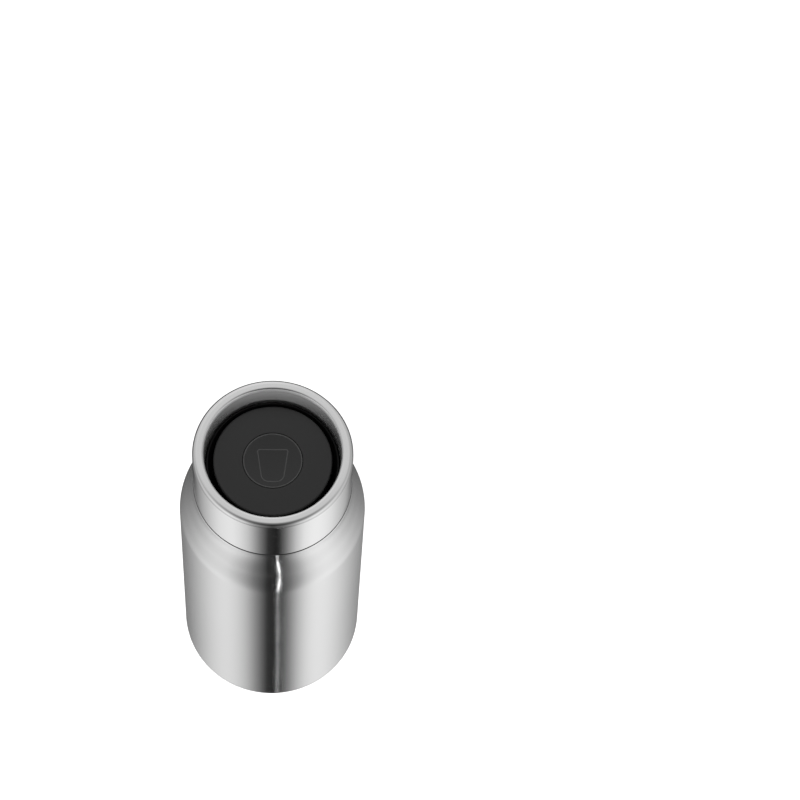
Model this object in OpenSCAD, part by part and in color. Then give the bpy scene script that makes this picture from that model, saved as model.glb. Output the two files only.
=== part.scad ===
// Vacuum-insulated travel mug with a press-button lid that pours all the way round.
// Millimetres. +Z is up, the origin is the centre of the foot, and -Y is the front.

/* [Mug body] */
// Outer diameter of the straight body
body_d = 78; // [72:1:96]
// Height from the table to the top of the lip
mug_h = 186; // [160:1:240]
// Thickness of every steel sheet
wall_t = 0.5; // [0.4:0.05:0.6]
// Vacuum gap between the outer shell and the inner flask
vacuum_gap = 3; // [1.5:0.1:4]
// Radius of the rounded bottom corner
base_round = 8.5; // [4:0.5:12]
// Height of the shoulder, from the straight body to the collar's seam
shoulder_h = 31; // [22:0.5:40]
// Width of the standing ring
foot_w = 1.5; // [1:0.1:3]
// Height of the vacuum base above the table
base_rise = 2.4; // [2:0.1:5]
// Height of the bottom cover above the table
cover_rise = 1; // [0.6:0.1:1.2]
// Inner radius of the flask's bottom corner
flask_round = 8; // [4:0.5:12]

/* [Collar and lip] */
// Height of the collar, from its seam to the top of the lip
collar_h = 28; // [24:0.5:34]
// Outer diameter of the collar at the lip
collar_d = 65.6; // [64:0.2:68]
// Growth of the collar's radius down to its seam
collar_flare = 0.4; // [0:0.1:0.8]
// Width of the lip, from its inner edge to the outside of the collar
lip_w = 4.4; // [4:0.1:4.8]
// Radius of the lip's outer edge
lip_round = 1.6; // [1:0.1:2]
// Radius of the lip's inner edge
hem_round = 0.8; // [0.7:0.05:1.2]
// Height of the lip's rolled section
lip_h = 2.4; // [2:0.1:4]
// Height of the groove at the collar's seam
seam_gap = 0.4; // [0.2:0.05:0.8]

/* [Neck] */
// Step from the lip's inner edge to the straight neck
neck_inset = 0.8; // [0.4:0.1:1.2]
// Height of the taper between the lip and the straight neck
neck_taper_h = 7.5; // [4:0.5:9]
// Depth of the gasket's ledge below the lip
ledge_depth = 33; // [32:0.5:40]
// Width of the gasket's ledge
ledge_w = 2; // [1.6:0.1:2.4]
// Height of the throat under the ledge
throat_h = 3; // [2:0.5:5]

/* [Thread] */
// Rise of the lid in one turn
thread_lead = 16; // [14:0.5:20]
// Number of thread starts
thread_starts = 3; // [2:1:3]
// Height of a ridge above its wall
thread_h = 0.85; // [0.6:0.05:1]
// Width of a ridge at its wall
thread_w = 2.2; // [1.6:0.1:2.4]
// Angle that each ridge of the neck covers
neck_sweep = 96; // [60:6:108]
// Angle that each ridge of the lid covers
lid_sweep = 72; // [48:6:96]

/* [Lid] */
// Depth of the lid's top below the lip
lid_drop = 8.1; // [7:0.1:10]
// Diameter of the top disc
disc_d = 48.8; // [46:0.1:49.4]
// Thickness of the top disc
disc_t = 2.7; // [2:0.1:3.4]
// Radius of the top disc's edge
disc_round = 1.2; // [0.4:0.1:1.6]
// Gap between moving lid parts and the steel
lid_gap = 0.3; // [0.2:0.05:0.35]
// Wall of the threaded ring
ring_t = 1.5; // [1:0.1:1.8]
// Height of the ring's top collar, which fills the neck
ring_collar_h = 5; // [3:0.5:6]
// Thickness of the lid's gasket
gasket_t = 2.6; // [2:0.1:3.5]
// Wall of the valve seat
seat_w = 2; // [1.5:0.1:2.6]
// Depth of the valve seat below the ledge
seat_drop = 6.5; // [4:0.5:8]
// Number of spokes between the hub and the ring
spoke_count = 6; // [3:1:8]
// Thickness of a spoke
spoke_t = 2; // [1.2:0.1:3]

/* [Button and valve] */
// Diameter of the push button
button_d = 24.2; // [22:0.1:26]
// Gap around the push button
button_gap = 0.25; // [0.2:0.05:0.3]
// Travel of the push button
press_travel = 4.5; // [3:0.1:5]
// Depth of the finger dish in the button
dish_depth = 0.5; // [0.2:0.1:1]
// Thickness of the button's top
button_t = 2.2; // [1.8:0.1:3]
// Wall of the button's skirt
skirt_t = 1.1; // [0.9:0.1:1.3]
// Wall of the hub
hub_t = 1.5; // [1.2:0.1:2]
// Thickness of the hub's floor
floor_t = 3.5; // [3:0.1:5]
// Diameter of the valve stem
stem_d = 6; // [5:0.1:6.4]
// Running gap between the stem and its bores
running_gap = 0.05; // [0.03:0.01:0.08]
// Gap between assembled pieces that don't move on each other
fit_gap = 0.05; // [0.02:0.01:0.1]
// Thickness of the valve plate
plate_t = 3.2; // [2.6:0.1:4]
// Width of the valve seal
seal_w = 2.2; // [1.8:0.1:3]
// Thickness of the valve seal
seal_t = 2.5; // [2:0.1:3]
// Diameter of the spring's wire
wire_d = 1.2; // [0.8:0.1:1.2]
// Number of turns in the spring
spring_turns = 7; // [4:1:9]

/* [Hidden] */
$fn = 96;
ARC_STEPS = 8;
BEND_STEPS = 12;

// Radii of the mug
body_r = body_d / 2;
lip_r = collar_d / 2;
seam_r = lip_r + collar_flare;
mouth_r = lip_r - lip_w;
neck_r = mouth_r - neck_inset;
throat_r = neck_r - ledge_w;
flask_r = body_r - 2 * wall_t - vacuum_gap;
sleeve_r = lip_r - wall_t - fit_gap;
foot_r = body_r - base_round - foot_w;
cover_r = foot_r - wall_t - fit_gap;

// Heights of the mug
seam_z = mug_h - collar_h;
shoulder_z = seam_z - shoulder_h;
flange_z = mug_h - lip_h;
ledge_z = mug_h - ledge_depth;
throat_z = ledge_z - throat_h;
base_gap = 2.4;
flask_floor_z = base_rise + 2 * wall_t + base_gap;
flask_bend_r = 10;

// Vacuum seal and getter
evac_r = 1;
bead_r = 3.5;
bead_t = 0.4;
getter_r = 6;
getter_t = 1.2;
getter_x = 14;

// Thread
thread_tip_w = thread_w / 2;
thread_sink = 0.3;
thread_step = 6;
thread_fade = 3;
thread_rise = 6.5;
neck_thread_z = ledge_z + gasket_t + thread_rise;
flank_gap = 0.35;
lid_thread_z = neck_thread_z - (thread_w + thread_tip_w) / 2 - flank_gap;

// Radii of the lid
disc_r = disc_d / 2;
ring_collar_r = neck_r - lid_gap;
ring_r = neck_r - thread_h - lid_gap;
ring_bore_r = ring_r - ring_t;
seat_gap = 0.9;
seat_r = throat_r - seat_gap;
seat_bore_r = seat_r - seat_w;
gasket_bore_r = seat_r + running_gap;
gasket_r = ring_r;
button_r = button_d / 2;
button_bore_r = button_r + button_gap;
stop_lap = 0.1;
stop_r = button_bore_r + stop_lap;
hub_bore_r = stop_r + stop_lap;
hub_r = hub_bore_r + hub_t;
cap_r = hub_r + hub_t;

// Heights of the lid, all hung from the ledge or from the lid's top
lid_z = mug_h - lid_drop;
disc_under_z = lid_z - disc_t;
ring_step_z = ledge_z + gasket_t;
seat_z = ledge_z - seat_drop;
hub_floor_z = seat_z + floor_t;
spoke_rise = 1;
spoke_low_z = ring_step_z + spoke_rise;
spoke_h = 9;
cap_h = 6;
bead_h = 0.3;
snap_z = disc_under_z - cap_h / 2;

// Stem, O-ring and latch
stem_r = stem_d / 2;
stem_bore_r = stem_r + running_gap;
o_ring_t = 1.1;
o_ring_groove_w = 1.4;
o_ring_r = stem_bore_r + o_ring_t / 2 + fit_gap / 2;
o_ring_z = seat_z + floor_t / 2;
tooth_gap = 0.3;
stem_stop_w = 1.1;
stem_stop_r = stem_r + stem_stop_w;
stem_stop_t = 1.4;
tooth_r = stem_stop_r + tooth_gap;
tooth_w = 1.5;
guide_bore_r = tooth_r + tooth_w;
guide_t = 2.3;
guide_r = guide_bore_r + guide_t;
tooth_h = 1.6;
tooth_count = 4;
tooth_angle = 26;
latch_turn = 180 / tooth_count;
rotor_gap = 0.2;
rotor_r = guide_bore_r - rotor_gap;
rotor_t = 3;
floor_tooth_h = 2.3;
rotor_z = hub_floor_z + floor_tooth_h + tooth_gap + press_travel;
roof_tooth_z = rotor_z + rotor_t + tooth_gap;
roof_z = roof_tooth_z + tooth_h;
roof_t = 2;
clip_r = stem_stop_r;
clip_groove_depth = 0.5;
clip_groove_r = stem_r - clip_groove_depth;
clip_t = 0.8;

// Button
button_under_z = lid_z - button_t;
button_round = 0.35;
stop_t = 2;
socket_depth = 5;
boss_r = stem_r + 2;
stem_top_z = button_under_z + button_t / 3;
boss_z = stem_top_z - socket_depth;

// Spring
washer_t = 0.5;
washer_gap = 0.4;
washer_bore_r = guide_r + washer_gap;
washer_r = hub_bore_r - washer_gap;
spring_low_z = hub_floor_z + washer_t;
spring_gap = 0.3;
spring_r = button_r - skirt_t - wire_d / 2 - spring_gap;
spring_sides = 6;
spring_rings = 8;
turn_gap = 0.5;
end_pitch = wire_d + turn_gap;
spring_rise = button_under_z - spring_low_z - wire_d - 2 * fit_gap;
open_pitch = (spring_rise - 2 * end_pitch) / (spring_turns - 2);

// Valve
plate_gap = 1.3;
plate_top_z = seat_z - plate_gap;
plate_z = plate_top_z - plate_t;
seal_inset = 0.2;
seal_r = seat_r - seal_inset;
seal_bore_r = seal_r - seal_w;
seal_z = seat_z - seal_t;
plate_inset = 0.4;
plate_r = seal_r - plate_inset;
plate_bevel = 1;
stem_z = plate_z + plate_t / 2;
screw_r = 1.2;
screw_hole_r = screw_r + 0.3;
screw_len = 8;
screw_end_gap = 0.5;
screw_head_r = 3.2;
screw_head_t = 1.6;
slot_w = 0.9;
slot_depth = 0.8;

// Points of an arc about [x, z] from angle a0 to angle a1
function arc(x, z, r, a0, a1, steps = ARC_STEPS) =
    [for (i = [0:steps]) let (a = a0 + (a1 - a0) * i / steps) [x + r * cos(a), z + r * sin(a)]];

// Angle at which a wall that rises at r0 leans in, after a bend of radius r, to reach r1
function lean(r0, z0, r1, z1, r) =
    atan2(z1 - z0, r - r0 + r1) - acos(r / norm([r - r0 + r1, z1 - z0]));

// Points of that bend
function bend(r0, z0, r1, z1, r) = arc(r0 - r, z0, r, 0, lean(r0, z0, r1, z1, r), BEND_STEPS);

// Points of a wall that sweeps in from r0 to r1 by two equal arcs, upright at both ends
function sweep_in(r0, z0, r1, z1) =
    let (
        r = ((r0 - r1) ^ 2 + (z1 - z0) ^ 2) / (4 * (r0 - r1)),
        lean = asin((z1 - z0) / (2 * r)),
        hollow = arc(r1 + r, z1, r, 180 + lean, 180, BEND_STEPS)
    )
    concat(arc(r0 - r, z0, r, 0, lean, BEND_STEPS), [for (i = [1:BEND_STEPS]) hollow[i]]);

function reverse(list) = [for (i = [len(list) - 1:-1:0]) list[i]];

// Unit normal to the left of the way from point p to point q
function left_of(p, q) = [p.y - q.y, q.x - p.x] / norm(q - p);

// A path moved to its left by t, with mitred corners
function inset(path, t) = [
    for (i = [0:len(path) - 1])
        let (
            last = len(path) - 1,
            n0 = left_of(path[max(i - 1, 0)], path[max(i, 1)]),
            n1 = left_of(path[min(i, last - 1)], path[min(i + 1, last)])
        )
        path[i] + (n0 + n1) * t / (1 + n0 * n1)
];

// A sheet of thickness t to the left of a path, turned about the axis
module sheet(path, t = wall_t) {
    rotate_extrude() polygon(concat(path, reverse(inset(path, t))));
}

// A plain ring
module ring(r_in, r_out, z, h) {
    translate([0, 0, z]) difference() {
        cylinder(r = r_out, h = h);
        translate([0, 0, -1]) cylinder(r = r_in, h = h + 2);
    }
}

// Triangles of a tube of closed sections, each with the same number of points
function tube_faces(sections, points) = concat(
    [for (k = [1:points - 2]) [0, k + 1, k]],
    [for (k = [1:points - 2]) let (e = (sections - 1) * points) [e, e + k, e + k + 1]],
    [for (i = [0:sections - 2], j = [0:points - 1], half = [0, 1])
        let (a = i * points + j, b = i * points + (j + 1) % points)
        half == 0 ? [a, b, b + points] : [a, b + points, a + points]]
);

// One thread ridge on a wall of radius wall_r, fading into it at both ends: dir is 1 outward or -1 inward
module ridge(wall_r, dir, z, sweep) {
    steps = ceil(sweep / thread_step);
    section = function (i)
        let (
            a = sweep * i / steps,
            rise = min(1, min(i, steps - i) / thread_fade),
            tip = -thread_sink / 2 + rise * (thread_h + thread_sink / 2),
            half_root = thread_w / 2,
            half_tip = thread_tip_w / 2,
            mid = z + thread_lead * (a - sweep / 2) / 360,
            low = [[-thread_sink, -half_root], [tip, -half_tip]],
            high = [[tip, half_tip], [-thread_sink, half_root]],
            points = concat(low, high)
        )
        [for (p = dir > 0 ? points : reverse(points))
            let (r = wall_r + dir * p.x) [r * cos(a), r * sin(a), mid + p.y]];
    polyhedron([for (i = [0:steps]) each section(i)], tube_faces(steps + 1, 4));
}

// One ridge for each thread start
module thread(wall_r, dir, z, sweep) {
    for (k = [0:thread_starts - 1]) rotate(360 * k / thread_starts) ridge(wall_r, dir, z, sweep);
}

// A crown of square teeth, with its first tooth centred on angle turn
module crown(r_in, r_out, z, h, turn = 0) {
    for (k = [0:tooth_count - 1])
        rotate(turn + 360 * k / tooth_count - tooth_angle / 2)
            rotate_extrude(angle = tooth_angle) translate([r_in, z]) square([r_out - r_in, h]);
}

// The notches between the teeth of such a crown
module notches(r_in, r_out, z, h, turn = 0) {
    for (k = [0:tooth_count - 1])
        rotate(turn + 360 * k / tooth_count + tooth_angle / 2)
            rotate_extrude(angle = 360 / tooth_count - tooth_angle)
                translate([r_in, z]) square([r_out - r_in, h]);
}

// Brushed steel outer wall: standing ring, body, shoulder and the neck sleeve under the collar
module outer_shell() {
    color("silver") sheet(concat(
        [[foot_r, 0]],
        arc(body_r - base_round, base_round, base_round, -90, 0),
        sweep_in(body_r, shoulder_z, seam_r, seam_z),
        [[sleeve_r, seam_z], [sleeve_r, flange_z - wall_t]]
    ));
}

// Inner wall that holds the drink, from the mouth flange to the floor, with the neck's thread
module inner_flask() {
    color("gainsboro") union() {
        sheet(concat(
            [[sleeve_r, flange_z], [mouth_r, flange_z], [neck_r, flange_z - neck_taper_h]],
            [[neck_r, ledge_z], [throat_r, ledge_z], [throat_r, throat_z]],
            reverse(bend(flask_r, shoulder_z, throat_r, throat_z, flask_bend_r)),
            arc(flask_r - flask_round, flask_floor_z + flask_round, flask_round, 0, -90),
            [[0, flask_floor_z]]
        ));
        thread(neck_r, -1, neck_thread_z, neck_sweep);
    }
}

// Steel collar: a sleeve over the neck whose top rolls over into the drinking lip
module collar_ring() {
    color("lightgray") sheet(concat(
        [[seam_r, seam_z + seam_gap]],
        arc(lip_r - lip_round, mug_h - lip_round, lip_round, 0, 90),
        arc(mouth_r + hem_round, mug_h - hem_round, hem_round, 90, 180),
        [[mouth_r, flange_z]]
    ));
}

// Vacuum base welded into the standing ring, with the hole that the air was drawn out of
module base_disc() {
    color("darkgray") difference() {
        sheet([[foot_r, 0], [foot_r, base_rise + wall_t], [0, base_rise + wall_t]]);
        cylinder(r = evac_r, h = 2 * base_rise);
    }
}

// Bead that closes the hole in the vacuum base
module vacuum_seal() {
    color("dimgray") union() {
        translate([0, 0, base_rise - bead_t]) cylinder(r = bead_r, h = bead_t);
        translate([0, 0, base_rise - bead_t]) cylinder(r = evac_r, h = bead_t + wall_t);
    }
}

// Bottom cover that hides the bead, pressed into the base's rim
module base_cover() {
    color("silver") sheet([[0, cover_rise], [cover_r, cover_rise], [cover_r, base_rise]]);
}

// Getter pill on the underside of the flask, in the vacuum
module getter_pill() {
    color("slategray") translate([getter_x, 0, flask_floor_z - wall_t - getter_t])
        cylinder(r = getter_r, h = getter_t);
}

// Soft ring between the lid's step and the neck's ledge
module lid_gasket() {
    color("dimgray") ring(gasket_bore_r, gasket_r, ledge_z, gasket_t);
}

// Threaded ring of the lid with its top collar, its step and the valve seat
module lid_ring() {
    collar_z = disc_under_z - ring_collar_h;
    rotate_extrude() polygon([
        [seat_bore_r, seat_z], [seat_r, seat_z], [seat_r, ring_step_z], [ring_r, ring_step_z],
        [ring_r, collar_z], [ring_collar_r, collar_z + ring_collar_r - ring_r],
        [ring_collar_r, disc_under_z], [ring_r, disc_under_z], [ring_bore_r, collar_z],
        [ring_bore_r, ring_step_z + ring_bore_r - seat_bore_r], [seat_bore_r, ring_step_z]
    ]);
    thread(ring_r, 1, lid_thread_z, lid_sweep);
}

// Hub of the lid: a dry cup for the spring and latch, with the stem's bore and O-ring groove in its floor
module lid_hub() {
    difference() {
        union() {
            translate([0, 0, seat_z]) cylinder(r = hub_r, h = disc_under_z - seat_z);
            translate([0, 0, snap_z - bead_h]) cylinder(r1 = hub_r, r2 = hub_r + bead_h, h = bead_h);
            translate([0, 0, snap_z]) cylinder(r1 = hub_r + bead_h, r2 = hub_r, h = bead_h);
        }
        translate([0, 0, hub_floor_z]) cylinder(r = hub_bore_r, h = disc_under_z);
        translate([0, 0, seat_z - 1]) cylinder(r = stem_bore_r, h = floor_t + 2);
        translate([0, 0, o_ring_z - o_ring_groove_w / 2])
            cylinder(r = o_ring_r + o_ring_t / 2 + fit_gap, h = o_ring_groove_w);
    }
}

// Black moulding of the lid: ring, hub and the spokes that the drink passes between
module lid_body() {
    color("black") union() {
        lid_ring();
        lid_hub();
        for (k = [0:spoke_count - 1])
            rotate(360 * k / spoke_count)
                translate([hub_r - hub_t / 2, -spoke_t / 2, spoke_low_z])
                    cube([ring_bore_r - hub_r + (hub_t + ring_t) / 2, spoke_t, spoke_h]);
    }
}

// O-ring that keeps the drink out of the hub
module stem_o_ring() {
    color("dimgray") rotate_extrude() translate([o_ring_r, o_ring_z]) circle(d = o_ring_t);
}

// Top disc that covers the lid, snapped over the hub
module top_disc() {
    cap_z = disc_under_z - cap_h;
    cap_bore_r = hub_r + fit_gap;
    groove = bead_h + fit_gap;
    color("black") rotate_extrude() polygon(concat(
        [[button_bore_r, disc_under_z], [cap_bore_r, disc_under_z], [cap_bore_r, snap_z + groove]],
        [[cap_bore_r + groove, snap_z], [cap_bore_r, snap_z - groove], [cap_bore_r, cap_z]],
        [[cap_r, cap_z], [cap_r, disc_under_z]],
        [[disc_r - disc_t / 4, disc_under_z], [disc_r, disc_under_z + disc_t / 4]],
        arc(disc_r - disc_round, lid_z - disc_round, disc_round, 0, 90),
        [[button_bore_r + button_round, lid_z], [button_bore_r, lid_z - button_round]]
    ));
}

// Push button with its finger dish, stop flange and the socket for the stem
module push_button() {
    stop_z = disc_under_z - fit_gap - stop_t;
    rim_r = button_r - button_round;
    dish_r = (rim_r * rim_r + dish_depth * dish_depth) / (2 * dish_depth);
    dish_angle = asin(rim_r / dish_r);
    socket_r = stem_r + fit_gap;
    color("black") rotate_extrude() polygon(concat(
        arc(0, lid_z - dish_depth + dish_r, dish_r, -90, -90 + dish_angle),
        arc(rim_r, lid_z - button_round, button_round, 90, 0),
        [[button_r, stop_z + stop_t], [stop_r, stop_z + stop_t], [stop_r, stop_z]],
        [[button_r - skirt_t, stop_z], [button_r - skirt_t, button_under_z], [boss_r, button_under_z]],
        [[boss_r, boss_z], [socket_r, boss_z], [socket_r, stem_top_z], [0, stem_top_z]]
    ));
}

// Stem that carries the valve plate, with the stop under the rotor, the clip's groove and the screw's hole
module valve_stem() {
    groove_z = rotor_z + rotor_t + fit_gap;
    color("whitesmoke") difference() {
        union() {
            translate([0, 0, stem_z]) cylinder(r = stem_r, h = stem_top_z - stem_z);
            translate([0, 0, rotor_z - fit_gap - stem_stop_t]) cylinder(r = stem_stop_r, h = stem_stop_t);
        }
        ring(clip_groove_r, stem_r + 1, groove_z, clip_t);
        translate([0, 0, stem_z - 1]) cylinder(r = screw_r, h = screw_len + 1);
    }
}

// Clip that keeps the rotor on the stem, open on one side
module rotor_clip() {
    color("silver") difference() {
        ring(clip_groove_r + fit_gap, clip_r, rotor_z + rotor_t + 2 * fit_gap, clip_t - 2 * fit_gap);
        translate([0, -clip_groove_r / 2, rotor_z]) cube([2 * clip_r, clip_groove_r, rotor_t + 2 * clip_t]);
    }
}

// Rotor of the latch: it turns as the button goes down, from the roof's teeth to the floor's
module latch_rotor() {
    top_z = rotor_z + rotor_t;
    notch_h = tooth_h + 2 * fit_gap;
    color("orange") difference() {
        rotate_extrude() polygon([
            [stem_bore_r, rotor_z], [tooth_r, rotor_z],
            [tooth_r, rotor_z - tooth_h], [rotor_r, rotor_z - tooth_h],
            [rotor_r, top_z + tooth_h], [tooth_r, top_z + tooth_h],
            [tooth_r, top_z], [stem_bore_r, top_z]
        ]);
        notches(tooth_r - fit_gap, guide_r, top_z - fit_gap, notch_h, latch_turn);
        notches(tooth_r - fit_gap, guide_r, rotor_z + fit_gap - notch_h, notch_h, latch_turn);
    }
}

// Guide of the latch, fixed on the hub's floor, with teeth at both ends of the rotor's travel
module latch_guide() {
    color("whitesmoke") union() {
        ring(guide_bore_r, guide_r, hub_floor_z, roof_z + roof_t - hub_floor_z);
        ring(tooth_r, guide_r, roof_z, roof_t);
        crown(tooth_r, guide_bore_r + fit_gap, roof_tooth_z, tooth_h + fit_gap);
        crown(tooth_r, guide_bore_r + fit_gap, hub_floor_z, floor_tooth_h, latch_turn);
    }
}

// Washer that the spring stands on
module spring_washer() {
    color("silver") ring(washer_bore_r, washer_r, hub_floor_z, washer_t);
}

// Height along the spring's wire after t turns: one close turn at each end, open turns between
function wire_z(t) = spring_low_z + fit_gap + wire_d / 2
    + end_pitch * (min(t, 1) + max(t - spring_turns + 1, 0))
    + open_pitch * max(min(t, spring_turns - 1) - 1, 0);

// Point on ring i of the spring, out by x and up by z from the wire's middle
function wire_point(i, x = 0, z = 0) =
    let (a = 360 * i / spring_rings, r = spring_r + x) [r * cos(a), r * sin(a), wire_z(i / spring_rings) + z];

// Spring that lifts the button and holds the valve shut
module return_spring() {
    rings = spring_turns * spring_rings;
    points = [
        for (i = [0:rings], j = [0:spring_sides - 1])
            let (b = 360 * j / spring_sides) wire_point(i, wire_d / 2 * cos(b), wire_d / 2 * sin(b))
    ];
    color("silver") polyhedron(points, tube_faces(rings + 1, spring_sides));
    turn_steps = [for (i = [0:rings - spring_rings]) norm(wire_point(i + spring_rings) - wire_point(i))];
    echo(least_gap_between_turns = min(turn_steps) - wire_d);
}

// Plate that closes the lid from below, with the rebate for its seal and the stem's socket
module valve_plate() {
    socket_r = stem_r + fit_gap;
    color("black") rotate_extrude() polygon([
        [screw_hole_r, plate_z], [plate_r - plate_bevel, plate_z], [plate_r, plate_z + plate_bevel],
        [plate_r, seal_z], [seal_bore_r, seal_z], [seal_bore_r, plate_top_z], [socket_r, plate_top_z],
        [socket_r, stem_z], [screw_hole_r, stem_z]
    ]);
}

// Soft ring on the valve plate that meets the seat
module valve_seal() {
    color("dimgray") ring(seal_bore_r + fit_gap, seal_r, seal_z, seat_z - seal_z);
}

// Screw that holds the valve plate on the stem
module stem_screw() {
    color("silver") difference() {
        union() {
            translate([0, 0, plate_z - screw_head_t]) cylinder(r = screw_head_r, h = screw_head_t);
            translate([0, 0, plate_z])
                cylinder(r = screw_r - fit_gap, h = stem_z + screw_len - screw_end_gap - plate_z);
        }
        translate([-screw_head_r, -slot_w / 2, plate_z - screw_head_t])
            cube([2 * screw_head_r, slot_w, slot_depth]);
    }
}

outer_shell();
inner_flask();
collar_ring();
base_disc();
vacuum_seal();
base_cover();
getter_pill();
lid_gasket();
lid_body();
stem_o_ring();
top_disc();
latch_guide();
spring_washer();
return_spring();
push_button();
valve_stem();
rotor_clip();
latch_rotor();
valve_plate();
valve_seal();
stem_screw();
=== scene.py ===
"""Looks of a vacuum travel mug with a press-button lid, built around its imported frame."""
import logging
import math
from dataclasses import dataclass
from enum import Enum
from functools import cache
from typing import NamedTuple

import bmesh
import bpy
from bmesh import ops
from mathutils import Matrix, Vector


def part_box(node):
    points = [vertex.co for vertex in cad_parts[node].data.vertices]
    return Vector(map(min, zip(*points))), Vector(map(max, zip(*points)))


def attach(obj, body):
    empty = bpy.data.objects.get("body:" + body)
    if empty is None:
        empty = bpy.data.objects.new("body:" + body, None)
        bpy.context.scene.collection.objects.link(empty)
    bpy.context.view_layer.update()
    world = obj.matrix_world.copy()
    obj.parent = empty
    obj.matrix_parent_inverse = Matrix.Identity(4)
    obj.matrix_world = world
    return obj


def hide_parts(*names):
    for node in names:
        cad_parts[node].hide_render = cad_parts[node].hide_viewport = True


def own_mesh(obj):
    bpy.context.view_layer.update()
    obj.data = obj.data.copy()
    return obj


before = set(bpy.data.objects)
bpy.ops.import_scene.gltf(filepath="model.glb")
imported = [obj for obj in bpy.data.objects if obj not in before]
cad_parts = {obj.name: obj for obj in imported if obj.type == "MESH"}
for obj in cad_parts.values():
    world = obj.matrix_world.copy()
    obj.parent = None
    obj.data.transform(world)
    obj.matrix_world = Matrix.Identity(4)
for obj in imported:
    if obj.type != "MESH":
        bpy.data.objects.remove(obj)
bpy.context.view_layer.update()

Mesh, Vert = bmesh.types.BMesh, bmesh.types.BMVert
Material, Object, Socket = bpy.types.Material, bpy.types.Object, bpy.types.NodeSocket

LOG = logging.getLogger("travel_mug")
MM = 0.001
UP = (0, 0, 1)
FULL_TURN = 2 * math.pi
WELD = 1e-7
RING_STEPS = 192
ARC_STEP = math.radians(7.5)
ARC_CHORD = 0.9 * MM
GUARD = 0.25 * MM
GUARDED = 6 * GUARD
CREASE = math.radians(32)
STOP_LAP = 0.03 * MM
FIT_GAP = 0.05 * MM
BRUSHED_ACROSS = 0.25
# Rounds of small corners, from sharp to blunt
CRISP, FINE, SLIGHT, MILD, HALF, SOFT, FULL = (MM * size for size in (0.1, 0.2, 0.3, 0.4, 0.5, 0.6, 0.8))


class Body(Enum):
    """Rigid bodies that pieces ride on."""

    MUG = "mug"
    GASKET = "gasket"
    LID = "lid"
    VALVE = "valve"


class Side(Enum):
    """Side of a round wall that a ridge stands on."""

    OUT = 1
    IN = -1


class Slot(Enum):
    """Material slots of the record."""

    STEEL = "brushed_steel"
    BLACK = "black_plastic"
    SOFT = "soft_seal"
    WIRE = "spring_steel"


class Size(NamedTuple):
    """Lowest and highest point and outer radius of a round CAD node, in metres."""

    low: float
    high: float
    radius: float

    @classmethod
    def of(cls, node: str) -> "Size":
        """Read a node's sizes from the frame."""
        low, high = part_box(node)
        return cls(low.z, high.z, high.x)


class Nodes:
    """A node tree that is filled from right to left with short calls."""

    def __init__(self, tree: bpy.types.NodeTree) -> None:
        """Clear the tree.

        Args:
            tree: the material's or world's node tree.
        """
        self.tree = tree
        tree.nodes.clear()

    def add(self, kind: str, settings: dict | None = None, **sockets: object) -> bpy.types.Node:
        """Add a node.

        Args:
            kind: the node's type without its ShaderNode prefix.
            settings: properties of the node.
            sockets: inputs by name with _ for a space, or i0, i1 for inputs by place; a value is a number,
                a colour, or another node's output.

        Returns:
            The new node.
        """
        node = self.tree.nodes.new("ShaderNode" + kind)
        for name, value in (settings or {}).items():
            setattr(node, name, value)
        for name, value in sockets.items():
            by_place = name[0] == "i" and name[1:].isdigit()
            socket = node.inputs[int(name[1:]) if by_place else name.replace("_", " ")]
            if isinstance(value, Socket):
                self.tree.links.new(value, socket)
            else:
                socket.default_value = value
        return node

    def calc(self, operation: str, *values: object) -> Socket:
        """Result of a Math node on numbers or outputs."""
        places = {f"i{k}": value for k, value in enumerate(values)}
        return self.add("Math", {"operation": operation}, **places).outputs[0]

    def vector(self, operation: str, first: object, second: object) -> Socket:
        """Vector result of a Vector Math node."""
        return self.add("VectorMath", {"operation": operation}, i0=first, i1=second).outputs[0]

    def step(self, value: Socket, low: float, high: float) -> Socket:
        """A value mapped to 0 at low and 1 at high, and held beyond."""
        return self.add("MapRange", None, Value=value, From_Min=low, From_Max=high).outputs[0]

    def mix(self, share: Socket, low: object, high: object) -> Socket:
        """A number between low and high, which are numbers or outputs, by a share from 0 to 1."""
        return self.add("Mix", {"data_type": "FLOAT"}, i0=share, i2=low, i3=high).outputs[0]

    def tint(self, value: Socket, dark: tuple, light: tuple) -> Socket:
        """A 0 to 1 value mapped to a colour between dark and light."""
        return self.add("Mix", {"data_type": "RGBA"}, i0=value, i6=dark, i7=light).outputs[2]

    def noise(self, place: Socket, scale: float, detail: float) -> Socket:
        """A soft noise of the given fineness."""
        return self.add("TexNoise", None, Vector=place, Scale=scale, Detail=detail).outputs[0]

    def bump(self, height: Socket, depth: float, strength: float) -> Socket:
        """A normal that follows a height."""
        return self.add("Bump", None, Strength=strength, Distance=depth, Height=height).outputs[0]

    def surface(self, **sockets: object) -> None:
        """Add the surface shader and the material's output."""
        shader = self.add("BsdfPrincipled", None, **sockets)
        self.add("OutputMaterial", None, Surface=shader.outputs[0])

    def ramp(self, value: Socket, low: float, high: float, levels: tuple) -> Socket:
        """A value mapped to greys by a table.

        Args:
            value: the value.
            low: start of the value's span.
            high: end of the value's span.
            levels: pairs of a value and its grey, in order, at most 32.

        Returns:
            The grey.
        """
        node = self.add("ValToRGB", None, Fac=self.step(value, low, high))
        stops = node.color_ramp.elements
        stops.remove(stops[1])
        for k, (at, grey) in enumerate(levels):
            place = (at - low) / (high - low)
            stop = stops[0] if k == 0 else stops.new(place)
            stop.position = place
            stop.color = rgba(grey)
        return node.outputs[0]


def rgba(grey: float) -> tuple:
    """An opaque grey."""
    return (grey, grey, grey, 1.0)


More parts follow.
